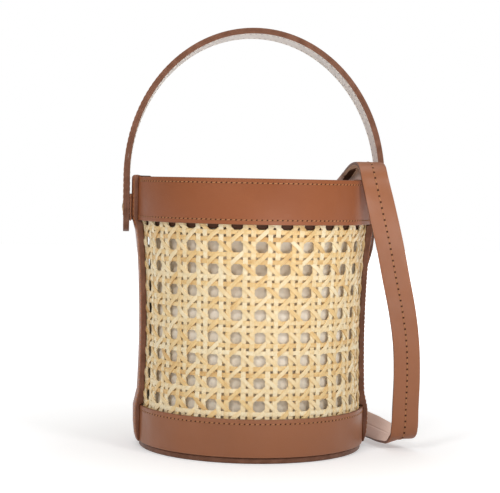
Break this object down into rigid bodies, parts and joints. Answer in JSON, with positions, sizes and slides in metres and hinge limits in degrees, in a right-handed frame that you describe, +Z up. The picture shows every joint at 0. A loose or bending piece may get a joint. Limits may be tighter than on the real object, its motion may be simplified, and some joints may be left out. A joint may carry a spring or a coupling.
{
  "type": "barrel bag",
  "caption": "Round barrel bag with caned walls between leather bands, a riveted swinging top handle and a long shoulder strap.",
  "frame": {"origin": "centre of the underside of the base disc, on the surface that the bag stands on", "axes": "+Z up, X from the left rivet to the right rivet, -Y the front"},
  "size_m": [0.2014, 0.1808, 0.2852],
  "materials": {
    "leather": "smooth tan leather with a light sheen",
    "leather_back": "pale flesh-pink leather lining",
    "board": "bonded fibre board",
    "cane": "split cane, satin",
    "lining": "beige woven cloth",
    "rivet": "aged brass"
  },
  "bodies": {
    "root": {"base_disc": "leather", "base_board": "board", "lower_band_front": "leather", "lower_band_back": "leather", "upper_band_front": "leather", "upper_band_back": "leather", "cane_panel_front": "cane", "cane_panel_back": "cane", "rim_facing": "leather", "side_strip_left": "leather", "side_strip_right": "leather", "seam_backing_left": "board", "seam_backing_right": "board", "liner_wall": "lining", "liner_floor": "lining", "rivet_left": "rivet", "rivet_right": "rivet", "rivet_cap_left": "rivet", "rivet_cap_right": "rivet", "shoulder_strap": "leather"},
    "handle": {"handle_outer": "leather", "handle_inner": "leather_back"}
  },
  "joints": [
    {"name": "handle_swing", "type": "hinge", "parent": "root", "child": "handle", "pos_m": [0, 0, 0.1614], "axis": [1, 0, 0], "range_deg": [-84, 25]}
  ]
}
